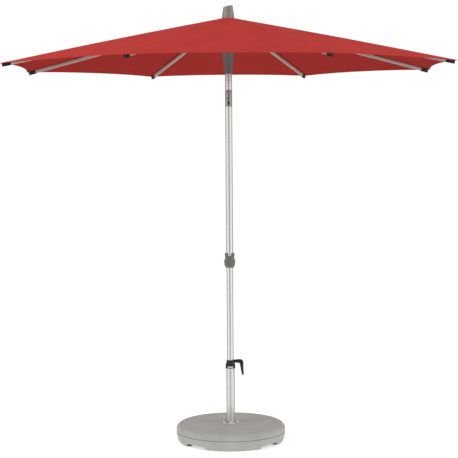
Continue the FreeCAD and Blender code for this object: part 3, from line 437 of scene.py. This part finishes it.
# ---- clamp lever ------------------------------------------------------------
def hanging_lever():
    """Moulded lever: a round boss on the screw, an arm that turns down at a soft elbow, and a grip that leans
    out and thins to a rounded end. A rounded section is carried along the line of the arm."""
    low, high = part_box("clamp_lever")
    axis = JOINTS["clamp_turn"]["pos_m"][2]
    root, reach, end = low.x + 4 * MM, high.x, low.z
    knee, toe = reach - 11.5 * MM, reach - 3.4 * MM
    line = np.array([(root, axis), (knee - 16 * MM, axis), (knee - 5 * MM, axis - 1.5 * MM),
                     (knee - 0.5 * MM, axis - 8 * MM), (knee + 1.5 * MM, axis - 22 * MM),
                     (knee + 4.0 * MM, axis - 48 * MM), (toe, end + 3.0 * MM)])
    deep = np.array([9.4, 9.8, 11.4, 11.4, 9.4, 7.2, 5.2]) * MM       # half depth in the lever's own plane
    wide = np.array([9.4, 9.0, 8.8, 8.6, 8.2, 7.4, 6.0]) * MM       # half width along Y
    at = np.linspace(0, len(line) - 1, 90)
    x, z, d, w = (smooth_through(row, at) for row in (line[:, 0], line[:, 1], deep, wide))
    close = np.sqrt(np.clip(1 - np.clip((at - at[-1] + 0.35) / 0.35, 0, 1) ** 2, 0.0, 1))
    d, w = d * np.maximum(close, 0.06), w * np.maximum(close, 0.06)
    dx, dz = np.gradient(x), np.gradient(z)
    size = np.hypot(dx, dz)
    out_x, out_z = -dz / size, dx / size
    section = rounded_section(2.0, 2.0, 0.72, 36)
    rings = np.stack((x[:, None] + out_x[:, None] * d[:, None] * section[None, :, 1],
                      w[:, None] * section[None, :, 0] * np.ones_like(x)[:, None],
                      z[:, None] + out_z[:, None] * d[:, None] * section[None, :, 1]), -1)
    arm = tube_skin("hanging_lever", rings, NYLON)
    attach(arm, "clamp_handle")
    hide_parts("clamp_lever")
    stations = np.array([0, 0.4, 1.2, 6, 11, 15, 16.2, 17]) * MM + low.x
    radii = np.array([8.2, 9.0, 9.4, 9.5, 9.3, 8.9, 8.2, 6.0]) * MM
    turn = np.linspace(0, 2 * math.pi, 96, endpoint=False)
    flutes = 1 - 0.035 * (0.5 + 0.5 * np.cos(12 * turn))
    boss = np.stack((np.repeat(stations[:, None], 96, 1), radii[:, None] * np.cos(turn) * flutes,
                     axis + radii[:, None] * np.sin(turn) * flutes), -1)
    hub = tube_skin("lever_boss", boss, NYLON)
    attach(hub, "clamp_handle")


def smooth_through(values, at):
    """Curve through evenly numbered values: each span blends the slopes at its two ends."""
    values = np.asarray(values, float)
    slopes = np.gradient(values)
    k = np.clip(at.astype(int), 0, len(values) - 2)
    t = at - k
    return ((1 + 2 * t) * (1 - t) ** 2 * values[k] + t * (1 - t) ** 2 * slopes[k]
            + t * t * (3 - 2 * t) * values[k + 1] + t * t * (t - 1) * slopes[k + 1])


# ---- locking ring -----------------------------------------------------------
RING_STEPS = 288             # points round the ring
RING_FLUTES = 24
FLUTE_DEPTH = 1.1 * MM


def fluted_ring():
    """Grip of the height lock: the ring's own outline turned about the mast, with shallow finger flutes that
    fade out towards both ends. Its bore is plain, at the ring's narrowest radius, so it doesn't leave the room
    for the collar and collet that the ring's stepped bore does."""
    spots = points("lock_ring")
    radius, height = np.hypot(spots[:, 0], spots[:, 1]), spots[:, 2]
    low, high = height.min(), height.max()
    levels = np.unique(np.round(height, 5))
    outer = np.array([radius[np.abs(height - z) < 2e-5].max() for z in levels])
    inner = radius.min()
    z = np.linspace(low, high, 60)
    outline = np.interp(z, levels, outer)
    soft = np.convolve(np.pad(outline, 3, mode="edge"), np.ones(7) / 7, mode="valid")
    outline = np.where((z > low + 4 * MM) & (z < high - 4 * MM), soft, outline)
    turn = np.linspace(0, 2 * math.pi, RING_STEPS, endpoint=False)
    fade = np.clip((z - low - 10 * MM) / (8 * MM), 0, 1) * np.clip((high - 6 * MM - z) / (8 * MM), 0, 1)
    flute = FLUTE_DEPTH * (0.5 - 0.5 * np.cos(RING_FLUTES * turn)) ** 2
    body = outline[:, None] - fade[:, None] * flute[None]
    rings = np.stack((body * np.cos(turn), body * np.sin(turn), np.repeat(z[:, None], RING_STEPS, 1)), -1)
    bore = [np.stack((inner * np.cos(turn), inner * np.sin(turn), np.full(RING_STEPS, level)), -1)
            for level in (high, low)]
    rings = np.concatenate((rings, np.array(bore), rings[:1]))
    piece = new_piece("fluted_lock_ring", rings, quads(len(rings), RING_STEPS, wrap=True), GREY)
    weld(piece)
    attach(piece, "height_ring")
    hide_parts("lock_ring")


# ---- finishes of the parts that keep their shape ----------------------------
FINISHES = {
    "base_shell": SHELL, "concrete_core": CONCRETE, "foot_pads": RUBBER, "base_tube": STAND,
    "flange_screws": ZINC, "clamp_": NYLON, "clamp_screw": ZINC, "reducer_sleeve": NYLON,
    "lower_mast_tube": TUBE, "lower_mast_plug": NYLON, "lower_mast_guide": NYLON, "upper_mast_tube": TUBE,
    "collet": NYLON, "height_collar": GREY, "lock_ring": GREY,
    "tilt_fork": TILT, "tilt_pin": ZINC, "tilt_tongue": TILT, "tilt_button": NYLON, "head_tube": TUBE,
    "crown_hub": GREY, "crown_ring": ZINC, "finial": PALE, "runner_": GREY, "runner_button": NYLON,
    "runner_bush": NYLON, "rib_": POWDER, "strut_": POWDER, "canopy_gore": CANVAS,
}


def finish_nodes():
    """Each node takes the finish whose name fits it best."""
    for name, node in NODES.items():
        best = max((key for key in FINISHES if name.startswith(key)), key=len)
        chosen = NYLON if name.endswith("_fittings") else FINISHES[best]
        node.data.materials.clear()
        node.data.materials.append(chosen)


finish_nodes()
for number in range(RIBS):
    canopy_gore(number)
crown_patch()
hanging_lever()
fluted_ring()


# ---- floor, light and camera ------------------------------------------------
def pale_floor():
    """Round plain floor, as white as what lies behind it, and so small that the mast does not mirror it."""
    turn = np.linspace(0, 2 * math.pi, 96, endpoint=False)
    radius = np.array([0.0, 0.2, 0.4, 0.6, 0.8])[:, None]
    grid = np.dstack((radius * np.cos(turn), radius * np.sin(turn), 0 * radius * turn - 0.0002))
    made, tree, shader = start_material("studio_floor", {
        "Base Color": linear("#F4F4F4"), "Roughness": 0.9, "Emission Color": (1, 1, 1, 1),
        "Emission Strength": 0.42})
    floor = new_piece("studio_floor", grid, quads(5, 96, wrap=True, flip=True), made)
    weld(floor)


def studio_world():
    """White all round to the eye. What the metal reflects is a bright room with a dark gap at the front, where
    the camera stands, and a dimmer wall behind; it goes by the direction's angle from the front."""
    world = bpy.data.worlds.new("studio")
    bpy.context.scene.world = world
    world.use_nodes = True
    tree = world.node_tree
    tree.nodes.clear()
    way = add(tree, "ShaderNodeTexCoord").outputs["Generated"]
    x, y, z = add(tree, "ShaderNodeSeparateXYZ", {0: way}).outputs
    back = add(tree, "ShaderNodeMath", {0: y, 1: -1.0}, operation="MULTIPLY").outputs[0]
    side = add(tree, "ShaderNodeMath", {0: x}, operation="ABSOLUTE").outputs[0]
    angle = add(tree, "ShaderNodeMath", {0: side, 1: back}, operation="ARCTAN2").outputs[0]
    share = add(tree, "ShaderNodeMath", {0: angle, 1: math.pi}, operation="DIVIDE").outputs[0]
    ramp = add(tree, "ShaderNodeValToRGB", {0: share})
    stops = ((0.0, 0.40), (0.07, 0.42), (0.13, 1.30), (0.50, 1.40), (0.60, 0.50), (1.0, 0.42))
    while len(ramp.color_ramp.elements) < len(stops):
        ramp.color_ramp.elements.new(0.5)
    for element, (position, level) in zip(ramp.color_ramp.elements, stops):
        element.position, element.color = position, (level, level, level, 1)
    above = add(tree, "ShaderNodeMapRange", {"Value": z, "From Min": 0.10, "From Max": 0.25}).outputs[0]
    sky = mix_colours(tree, above, ramp.outputs[0], (0.86, 0.86, 0.86, 1))
    below = add(tree, "ShaderNodeMapRange", {"Value": z, "From Min": -0.75, "From Max": -0.35, "To Min": 0.60,
                                             "To Max": 0.85}).outputs[0]
    lit = add(tree, "ShaderNodeBackground", {"Strength": below})
    tree.links.new(sky, lit.inputs[0])
    seen = add(tree, "ShaderNodeBackground", {0: (1, 1, 1, 1), "Strength": 1.0})
    eye = add(tree, "ShaderNodeLightPath").outputs["Is Camera Ray"]
    both = add(tree, "ShaderNodeMixShader", {0: eye, 1: lit.outputs[0], 2: seen.outputs[0]})
    add(tree, "ShaderNodeOutputWorld", {0: both.outputs[0]})


def soft_light(name, place, aim, size, power):
    """Square area light that looks at a point."""
    data = bpy.data.lights.new(name, "AREA")
    data.size, data.energy = size, power
    lamp = bpy.data.objects.new(name, data)
    lamp.location = place
    lamp.rotation_euler = (Vector(aim) - Vector(place)).to_track_quat("-Z", "Y").to_euler()
    bpy.context.scene.collection.objects.link(lamp)


def camera():
    """Long lens, level with the chest, below the canopy's rim and tipped slightly down and sideways."""
    data = bpy.data.cameras.new("camera")
    data.sensor_width, data.lens = 36.0, 107.36
    data.clip_end = 200.0
    data.shift_x = -0.0011
    eye = bpy.data.objects.new("camera", data)
    tip, lean = math.radians(90 - 3.862), -0.0068
    place = Matrix.Translation((0.0, -7.467, 1.674))
    eye.matrix_world = place @ Matrix.Rotation(tip, 4, "X") @ Matrix.Rotation(lean, 4, "Z")
    bpy.context.scene.collection.objects.link(eye)
    bpy.context.scene.camera = eye


pale_floor()
studio_world()
soft_light("key", (-4.8, -2.2, 4.6), (0, 0, 1.9), 2.5, 120)
soft_light("fill", (4.8, -1.2, 3.8), (0, 0, 1.6), 2.5, 70)
camera()
bpy.context.scene.view_settings.view_transform = "Standard"
